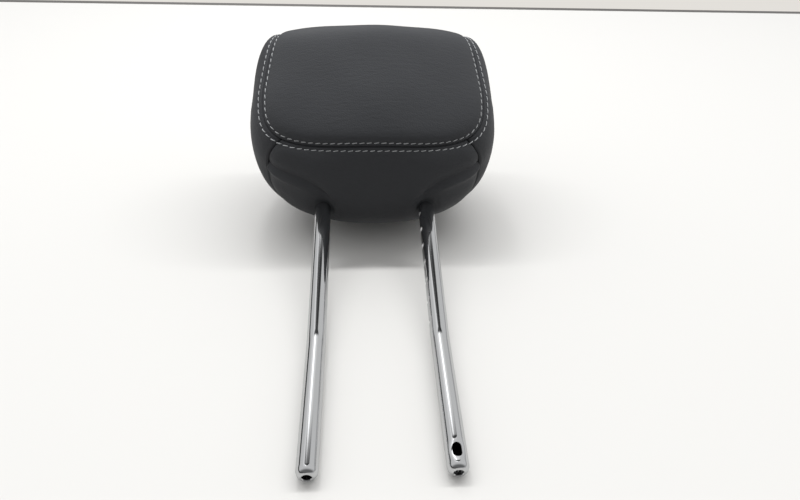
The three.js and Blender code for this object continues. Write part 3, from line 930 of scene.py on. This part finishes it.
@dataclass
class Posts:
    """Both posts, one bent tube with swaged noses, a stop slot and locking notches."""

    radius: float = 7.0
    bore: float = 5.2
    spacing: float = 92.0
    notched_run: float = 139.5
    lower_run: float = 100.0
    knee: float = 10.0
    knee_radius: float = 60.0
    inserted: float = 80.0
    crown: float = 26.0
    nose: float = 5.0
    nose_radius: float = 3.9
    hole_radius: float = 3.05
    bore_reach: float = 45.0
    slot_height: float = 7.5
    bore_points: int = 6
    bore_margins: tuple[float, float, float] = (0.1, 0.6, 5.0)
    hole_step: tuple[float, float] = (6.0, 4.0)
    hole_chamfer: tuple[float, float] = (0.4, 0.3)
    slot_half: tuple[float, float] = (3.0, 5.0)
    slot_reach: tuple[float, float] = (0.5, 3.0)
    slot_sides: int = 40
    dimple_margin: float = 1.3
    dimple_depth: float = 0.9
    notch_start: float = 12.0
    notch_pitch: float = 18.7
    notch_count: int = 7
    notch_depth: float = 1.3
    notch_length: float = 4.6
    notch_ramp: float = 0.55
    notch_edge: float = 0.4
    notch_side: float = 0.2
    sides: int = 84
    nose_rings: int = 9
    tip_reach: float = 18.0
    tip_step: float = 0.4
    plain_step: float = 1.0
    notched_step: float = 0.5
    hidden_step: float = 2.0
    sharp_limit: float = 32.0

    def runs(self) -> Array:
        """Lengths of the right post's stretches from its shoulder.

        Returns:
            The lower run, the knee, the upper run, the crown and half of the bridge.
        """
        knee = math.radians(self.knee) * self.knee_radius
        upper = self.notched_run + self.inserted - self.crown
        crown = math.pi / 2 * self.crown
        return np.array([self.lower_run, knee, upper, crown, self.spacing / 2 - self.crown])

    def centre(self, arc: Array) -> tuple[Array, Array]:
        """Centre line and direction of the right post at an arc length from its shoulder.

        Straight runs joined by two arcs: the knee, which turns in Y and Z, and the crown, in X and Z.

        Args:
            arc: Lengths from the shoulder.

        Returns:
            Points and directions of length 1.
        """
        ends = np.concatenate([[0.0], np.cumsum(self.runs())])
        k = math.radians(self.knee)
        foot_y = -self.knee_radius * (1 - math.cos(k)) - self.lower_run * math.sin(k)
        foot_z = -self.knee_radius * math.sin(k) - self.lower_run * math.cos(k)
        turn = np.clip((arc - ends[1]) / self.knee_radius, 0.0, k)
        low = np.minimum(arc, ends[1])
        y = foot_y + low * math.sin(k) + self.knee_radius * (np.cos(k - turn) - math.cos(k))
        z = foot_z + low * math.cos(k) + self.knee_radius * (math.sin(k) - np.sin(k - turn))
        z = z + np.clip(arc - ends[2], 0.0, ends[3] - ends[2])
        bend = np.clip((arc - ends[3]) / self.crown, 0.0, math.pi / 2)
        z = z + self.crown * np.sin(bend)
        x = self.spacing / 2 - self.crown * (1 - np.cos(bend)) - np.maximum(arc - ends[4], 0.0)
        lean = k - turn
        way = np.stack([-np.sin(bend), np.sin(lean) * np.cos(bend), np.cos(lean) * np.cos(bend)], axis=-1)
        return np.stack([x, y, z], axis=-1), way

    def profile(self) -> tuple[Array, Array]:
        """Arc and radius from inside the bore, out over the nose and along the outside to the bridge.

        The nose is a quarter of an ellipse.

        Returns:
            Arc lengths from the shoulder, and the radius at each.
        """
        quarter = np.linspace(0.0, np.pi / 2, self.nose_rings)
        nose_arc = -self.nose * np.cos(quarter)
        nose_radius = self.nose_radius + (self.radius - self.nose_radius) * np.sin(quarter)
        total = float(self.runs().sum())
        first = float(self.runs()[:2].sum())
        notched = np.arange(first, first + self.notched_run, self.notched_step)
        rest = np.arange(first + self.notched_run, total, self.hidden_step)
        tip = np.arange(0.5, self.tip_reach, self.tip_step)
        low = np.concatenate([tip, np.arange(self.tip_reach, first, self.plain_step)])
        inset, flare = self.hole_chamfer
        arc = np.concatenate([
            [self.bore_reach, self.bore_reach, *self.hole_step, -self.nose + inset, -self.nose],
            nose_arc, low, notched, rest, [total],
        ])
        radius = np.concatenate([
            [0.0, self.bore, self.bore, self.hole_radius, self.hole_radius, self.hole_radius + flare],
            nose_radius, np.full(len(low) + len(notched) + len(rest) + 1, self.radius),
        ])
        return arc, radius

    def cuts(self, arc: Array, angle: Array, outside: Array) -> Array:
        """How much radius the notches and the dimple round the slot take away on the right post.

        A notch is a flat across the inner side that deepens along a ramp and ends square. The dimple is a
        bell to the fourth power round the slot.

        Args:
            arc: Arc lengths from the shoulder.
            angle: Angles round the tube.
            outside: 1 on the tube's outside and 0 in its bore.

        Returns:
            What comes off the radius.
        """
        first = float(self.runs()[:2].sum())
        height = arc - first
        index = np.arange(self.notch_count)
        tops = self.notch_start + index * self.notch_pitch
        below = tops[:, None] - height[None, :]
        ramp = np.clip((self.notch_length - below) / (self.notch_ramp * self.notch_length), 0.0, 1.0)
        square = np.clip(below / self.notch_edge, 0.0, 1.0)
        depth = self.notch_depth * np.max(ramp * square, axis=0)
        away = np.cos(angle[None, :] - math.pi)
        plane = (self.radius - depth[:, None]) / np.maximum(away, self.notch_side)
        notch = np.where(away > self.notch_side, np.maximum(self.radius - plane, 0.0), 0.0)
        wrapped = (angle[None, :] + math.pi / 2 + math.pi) % (2 * math.pi) - math.pi
        off_a = (arc[:, None] - self.slot_height) / (self.slot_half[1] + self.dimple_margin)
        off_b = wrapped * self.radius / (self.slot_half[0] + self.dimple_margin)
        dimple = self.dimple_depth * np.exp(-(np.hypot(off_a, off_b) ** 4))
        return (notch + dimple) * outside[:, None]

    def half(self, side: int) -> Array:
        """One half of the tube, as a grid from the bore's end to the bridge.

        A circle of the profile's radius goes along the centre line. The left half is the right one mirrored.

        Args:
            side: 1 for the right half and -1 for the left.

        Returns:
            The grid of points.
        """
        arc, radius = self.profile()
        centre, way = self.centre(arc)
        forward = np.stack([np.zeros_like(arc), way[:, 2], -way[:, 1]], axis=-1)
        crown = np.abs(way[:, 0]) > 1e-6
        forward[crown] = (0.0, 1.0, 0.0)
        forward /= np.linalg.norm(forward, axis=-1, keepdims=True)
        right = np.cross(forward, way)
        angle = np.linspace(0.0, 2 * np.pi, self.sides, endpoint=False)
        outside = (np.arange(len(arc)) > self.bore_points).astype(float)
        taken = self.cuts(arc, angle, outside) if side > 0 else 0.0
        reach = radius[:, None] - taken
        sideways = np.cos(angle)[None, :, None] * right[:, None, :]
        ring = sideways + np.sin(angle)[None, :, None] * forward[:, None, :]
        grid = centre[:, None, :] + ring * reach[..., None]
        if side < 0:
            grid = grid * np.array([-1.0, 1.0, 1.0])
            grid = np.roll(grid[:, ::-1], 1, axis=1)
            grid = np.roll(grid, self.sides // 2, axis=1)
        return grid

    def slot_cutter(self) -> bpy.types.Object:
        """A capsule-shaped prism through the front wall near the right tip.

        Returns:
            The cutter, which isn't in the scene yet.
        """
        turns = np.linspace(0.0, 2 * np.pi, self.slot_sides, endpoint=False)
        half_w, half_l = self.slot_half
        stretch = half_l - half_w
        x = half_w * np.cos(turns)
        z = half_w * np.sin(turns) + np.sign(np.sin(turns)) * stretch
        centre, way = self.centre(np.array([self.slot_height]))
        ahead = np.array([0.0, -way[0, 2], way[0, 1]])
        across = np.array([1.0, 0.0, 0.0])
        flat = centre[0] + x[:, None] * across + z[:, None] * way[0]
        start, past = self.slot_reach
        rings = np.stack([flat + ahead * d for d in (start, self.radius + past)])
        middle = rings.mean(axis=1, keepdims=True).repeat(len(turns), axis=1)
        grid = np.concatenate([middle[:1], rings, middle[1:]])
        mesh = bpy.data.meshes.new("slot_cutter")
        quads = weave(4, len(turns))
        mesh.from_pydata((grid.reshape(-1, 3) * MM).tolist(), [], quads.tolist())
        tidy_mesh(mesh)
        return bpy.data.objects.new("slot_cutter", mesh)

    def build(self) -> None:
        """Makes the tube, cuts its slot and replaces the faceted one."""
        chrome = CHROME.build(chrome_variation)
        right, left = self.half(1), self.half(-1)
        grid = np.concatenate([right, left[::-1][1:]])
        quads = weave(grid.shape[0], self.sides)
        made = make_mesh("chromed_posts", grid.reshape(-1, 3), quads, chrome)
        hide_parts(Node.TUBE.value)
        cutter = self.slot_cutter()
        bpy.context.scene.collection.objects.link(cutter)
        cut = made.modifiers.new("slot", "BOOLEAN")
        cut.operation = "DIFFERENCE"
        cut.solver = "EXACT"
        cut.object = cutter
        bpy.context.view_layer.update()
        graph = bpy.context.evaluated_depsgraph_get()
        result = bpy.data.meshes.new_from_object(made.evaluated_get(graph))
        made.modifiers.clear()
        made.data = result
        bpy.data.objects.remove(cutter)
        weighted = made.modifiers.new("shading", "WEIGHTED_NORMAL")
        weighted.keep_sharp = True
        edges = make_sharp(result, math.radians(self.sharp_limit))
        self.mark_bores(result)
        log.info("chromed_posts: slot cut, %d sharp edges", edges)

    def mark_bores(self, mesh: bpy.types.Mesh) -> None:
        """Marks the points inside the bores of the lower runs, which the plating doesn't reach and which the
        chrome paints near-black as shade.

        Args:
            mesh: The tube's mesh, given the attribute "bore".
        """
        spots = np.empty(len(mesh.vertices) * 3)
        mesh.vertices.foreach_get("co", spots)
        spots = spots.reshape(-1, 3) / MM
        spots[:, 0] = np.abs(spots[:, 0])
        foot, way = self.centre(np.array([0.0]))
        along = (spots - foot[0]) @ way[0]
        off = np.linalg.norm(spots - foot[0] - along[:, None] * way[0], axis=1)
        wide, lip, past = self.bore_margins
        inside = (off < self.bore + wide) & (along > lip - self.nose) & (along < self.bore_reach + past)
        bore = mesh.attributes.new("bore", "FLOAT", "POINT")
        bore.data.foreach_set("value", inside.astype(float))


def make_sharp(mesh: bpy.types.Mesh, limit: float) -> int:
    """Marks the edges that turn by more than a limit as sharp, and counts them.

    Args:
        mesh: The mesh, changed in place.
        limit: The angle between two faces, in radians.

    Returns:
        How many edges were marked.
    """
    work = bmesh.new()
    work.from_mesh(mesh)
    marked = 0
    for edge in work.edges:
        if len(edge.link_faces) == 2 and edge.calc_face_angle(0.0) > limit:
            edge.smooth = False
            marked += 1
    work.to_mesh(mesh)
    work.free()
    return marked


# Hidden parts


def dress_hidden(frame: dict) -> None:
    """Gives the foam, the carrier, its screws and the closing strips their finishes.

    Args:
        frame: The frame as it was loaded, with its record and nodes.
    """
    finishes = {
        Slot.FOAM.value: FOAM.build(),
        Slot.PLASTIC.value: PLASTIC.build(),
        Slot.STEEL.value: STEEL.build(),
    }
    for row in frame["record"]["subparts"]:
        finish = finishes.get(row["material_slot"])
        if finish is None:
            continue
        node = frame["nodes"][row["node"]]
        node.data.materials.clear()
        node.data.materials.append(finish)
        log.info("%s: %s", row["node"], finish.name)


# Studio


@dataclass
class Lamp:
    """An area lamp in the lying frame, in metres and watts. Polished metal mirrors it where it glints."""

    name: str
    spot: tuple[float, float, float]
    aim: tuple[float, float, float]
    size: tuple[float, float]
    power: float
    glints: bool


LAMPS = (
    Lamp("tube_lamp", (0.05, -2.43, 1.15), (0.0, 0.0, 0.25), (5.0, 0.14), 76.0, False),
    Lamp("box_lamp", (-0.17, -1.16, 0.91), (0.0, 0.0, 0.05), (0.17, 0.6), 2.6, False),
    Lamp("back_lamp", (0.5, 1.4, 0.9), (0.0, 0.0, 0.3), (1.2, 1.2), 2.2, True),
)


@dataclass
class Room:
    """The room's brightness by direction, as it lights things and as polished metal mirrors it.

    The spans are pairs of values between which something fades. For far and rise they are cosines to the
    far end of the table and to the direction over it, for the edge to the side. For the sides, the glow
    and the core they are squares of the cosine to the side.
    """

    soft_span: tuple[float, float] = (-0.7, 0.3)
    soft_light: tuple[float, float] = (0.24, 0.94)
    side_span: tuple[float, float] = (0.2, 0.8)
    side_light: float = 0.55
    grey_span: tuple[float, float] = (-0.55, 0.0)
    grey_light: tuple[float, float] = (0.12, 0.52)
    edge_span: tuple[float, float] = (-0.3, 0.3)
    edge_light: tuple[float, float] = (0.03, 0.34)
    rise_span: tuple[float, float] = (0.14, 0.30)
    dark_share: float = 0.95
    dark_far: tuple[float, float] = (0.50, 0.60)
    dark_side: tuple[float, float] = (0.2, 0.42)
    dark_start: float = 0.30
    dark_widening: float = 0.55
    dark_blur: tuple[float, float] = (-0.02, 0.03)
    streak_side: float = 0.14
    streak_far: tuple[float, float] = (0.1, 0.4)
    streak_glow: tuple[float, float, float, float] = (0.0, 0.22, 0.26, 0.0)
    streak_core: tuple[float, float, float, float] = (0.003, 0.016, 0.9, 0.0)

    def light(self, bench: Bench, ahead: tuple, above: tuple) -> Socket:
        """The strength of the light by direction.

        What it lights is brighter from the far side, and a little more so from both sides. Polished metal
        mirrors a grey that fades in from behind, with a lit streak towards the far end, a dark wedge
        overhead that widens with distance, and low over the table a band from dark on the left to grey
        on the right. The parts are soft steps, added and multiplied.

        Args:
            bench: The world's nodes.
            ahead: The direction along the table.
            above: The direction up from the table.

        Returns:
            The strength.
        """
        way = bench.node("ShaderNodeTexCoord", output="Generated")
        far = bench.along(way, ahead)
        over = bench.along(way, above)
        side = bench.along(way, (1.0, 0.0, 0.0))
        wide = side**2.0
        soft = bench.fade(far, *self.soft_span, *self.soft_light)
        soft = soft + bench.fade(wide, *self.side_span, 0.0, self.side_light)
        off = (side + self.streak_side) ** 2.0
        streak = bench.fade(off, *self.streak_glow) + bench.fade(off, *self.streak_core)
        grey = bench.fade(far, *self.grey_span, *self.grey_light)
        grey = grey + streak * bench.fade(far, *self.streak_far, 0.0, 1.0)
        wedge = wide - (far - self.dark_start) * self.dark_widening
        dark = bench.fade(far, *self.dark_far, 1.0, 0.0) * bench.fade(wide, *self.dark_side, 1.0, 0.0)
        dark = dark * bench.fade(wedge, *self.dark_blur, 1.0, 0.0)
        grey = grey * (1.0 - dark * self.dark_share)
        edge = bench.fade(side, *self.edge_span, *self.edge_light)
        sharp = edge + (grey - edge) * bench.fade(over, *self.rise_span, 0.0, 1.0)
        mirrored = bench.node("ShaderNodeLightPath", output="Is Glossy Ray")
        return soft + (sharp - soft) * mirrored


@dataclass
class Studio:
    """The table behind the headrest, the lamps and the camera.

    The lying frame has its +Z along the lower run of the posts and its origin between their shoulders, as
    the headrest lies on the table.
    """

    posts: Posts
    room: Room
    lens: float = 27.05
    tilt: float = 39.07
    yaw: float = 4.52
    roll: float = 2.29
    eye: tuple[float, float, float] = (-10.8, -334.4, -200.4)
    table_tip: float = 7.4
    table_slope: float = 1.85
    table_far: float = 1010.8
    table_near: float = -700.0
    table_half: float = 1300.0
    table_trim: float = 16.0
    table_colour: Colour = (0.635, 0.63, 0.615)
    trim_colour: Colour = (0.10, 0.095, 0.09)
    wall_colour: Colour = (0.77, 0.745, 0.705)

    def lying(self) -> Matrix:
        """Turn and move from the lying frame to the headrest's, in metres.

        Returns:
            The matrix.
        """
        foot, _ = self.posts.centre(np.array([0.0]))
        shift = Matrix.Translation((0.0, foot[0, 1] * MM, foot[0, 2] * MM))
        return shift @ Matrix.Rotation(math.radians(-self.posts.knee), 4, "X")

    def camera(self) -> None:
        """Places the camera where the photograph was taken from."""
        tilt, yaw, roll = (math.radians(v) for v in (self.tilt, self.yaw, self.roll))
        turn = Matrix(((math.cos(yaw), 0, math.sin(yaw)), (0, 1, 0), (-math.sin(yaw), 0, math.cos(yaw))))
        ahead = turn @ Vector((0, math.sin(tilt), math.cos(tilt)))
        up = turn @ Vector((0, -math.cos(tilt), math.sin(tilt)))
        side = turn @ Vector((1, 0, 0))
        right = math.cos(roll) * side + math.sin(roll) * up
        above = -math.sin(roll) * side + math.cos(roll) * up
        facing = Matrix((right, above, -ahead)).transposed().to_4x4()
        facing.translation = Vector(self.eye) * MM
        data = bpy.data.cameras.new("camera")
        data.lens = self.lens
        data.sensor_width = 36.0
        data.clip_start = 0.01
        made = bpy.data.objects.new("camera", data)
        made.matrix_world = self.lying() @ facing
        bpy.context.scene.collection.objects.link(made)
        bpy.context.scene.camera = made

    def table(self) -> None:
        """A pale table top behind the headrest and the dark trim along its far edge."""
        end = self.table_far + self.table_trim
        self.board("table", self.table_near, self.table_far, self.table_colour)
        self.board("table_trim", self.table_far, end, self.trim_colour)

    def board(self, name: str, near: float, far: float, colour: Colour) -> None:
        """A flat stretch of the table.

        Args:
            name: Its name.
            near: Where it starts, along the posts from their shoulders.
            far: Where it ends.
            colour: What the camera sees.
        """
        rise = math.tan(math.radians(self.table_slope))
        corners = []
        for x, along in ((-1, near), (1, near), (1, far), (-1, far)):
            corners.append((x * self.table_half * MM, (self.table_tip + along * rise) * MM, along * MM))
        mesh = bpy.data.meshes.new(name)
        mesh.from_pydata(corners, [], [(0, 1, 2, 3)])
        mesh.transform(self.lying())
        mesh.update()
        mesh.materials.append(table_finish(name, colour))
        made = bpy.data.objects.new(name, mesh)
        bpy.context.scene.collection.objects.link(made)

    def hang(self, lamp: Lamp) -> None:
        """Makes an area lamp and puts it in its place.

        Args:
            lamp: What to hang.
        """
        data = bpy.data.lights.new(lamp.name, "AREA")
        data.shape = "RECTANGLE"
        data.size, data.size_y = lamp.size
        data.energy = lamp.power
        made = bpy.data.objects.new(lamp.name, data)
        made.visible_glossy = lamp.glints
        facing = (Vector(lamp.aim) - Vector(lamp.spot)).to_track_quat("-Z", "Y").to_matrix().to_4x4()
        facing.translation = Vector(lamp.spot)
        made.matrix_world = self.lying() @ facing
        bpy.context.scene.collection.objects.link(made)

    def surroundings(self) -> None:
        """A pale wall to the camera, and the room's light to everything else."""
        world = bpy.data.worlds.new("room")
        world.use_nodes = True
        bpy.context.scene.world = world
        bench = Bench(world.node_tree)
        seen = bench.node("ShaderNodeLightPath", output="Is Camera Ray")
        strength = self.room.light(bench, self.towards(0.0), self.towards(90.0))
        white, pale = (1.0, 1.0, 1.0, 1.0), (*self.wall_colour, 1.0)
        lit = bench.node("ShaderNodeBackground", {}, {"Color": white, "Strength": strength})
        wall = bench.node("ShaderNodeBackground", {}, {"Color": pale, "Strength": 1.0})
        both = bench.node("ShaderNodeMixShader", {}, {0: seen, 1: lit, 2: wall})
        bench.node("ShaderNodeOutputWorld", {}, {"Surface": both})

    def towards(self, degrees: float) -> tuple[float, float, float]:
        """A direction in the headrest's frame, turned from the lying frame's +Z towards its -Y.

        Args:
            degrees: The angle.

        Returns:
            The direction.
        """
        angle = math.radians(degrees)
        way = self.lying().to_3x3() @ Vector((0.0, -math.sin(angle), math.cos(angle)))
        return tuple(way)

    def build(self) -> None:
        """Sets up everything that isn't the headrest."""
        self.table()
        for lamp in LAMPS:
            self.hang(lamp)
        self.surroundings()
        self.camera()
        bpy.context.scene.view_settings.view_transform = "Standard"


TABLE_THROWN = 0.24
TABLE_MIRRORED = 0.5
TABLE_ROUGHNESS = 0.5


def table_finish(name: str, colour: Colour) -> bpy.types.Material:
    """Matt laminate, clear from behind and to shadow rays, that throws little light back on the headrest.

    Args:
        name: The material's name.
        colour: What the camera sees.

    Returns:
        The material.
    """
    made = bpy.data.materials.new(name)
    made.use_nodes = True
    bench = Bench(made.node_tree)
    seen = bench.node("ShaderNodeLightPath", output="Is Camera Ray")
    mirrored = bench.node("ShaderNodeLightPath", output="Is Glossy Ray")
    thrown = tuple(part * TABLE_THROWN for part in colour)
    tone = bench.shade(seen + mirrored * TABLE_MIRRORED, thrown, colour)
    top = bench.node("ShaderNodeBsdfPrincipled", {}, {"Base Color": tone, "Roughness": TABLE_ROUGHNESS})
    clear = bench.node("ShaderNodeBsdfTransparent")
    behind = bench.node("ShaderNodeNewGeometry", output="Backfacing")
    shadow = bench.node("ShaderNodeLightPath", output="Is Shadow Ray")
    hide = bench.node("ShaderNodeMath", {"operation": "MAXIMUM"}, {0: behind, 1: shadow})
    bench.finish(bench.node("ShaderNodeMixShader", {}, {0: hide, 1: top, 2: clear}))
    return made


def main() -> None:
    """Builds the headrest round the frame, then the studio."""
    logging.basicConfig(level=logging.INFO, format="%(name)s: %(message)s")
    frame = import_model()
    form = CushionForm()
    Cover(form, SeamCraft()).build()
    posts = Posts()
    posts.build()
    dress_hidden(frame)
    Studio(posts, Room()).build()


if __name__ == "__main__":
    main()
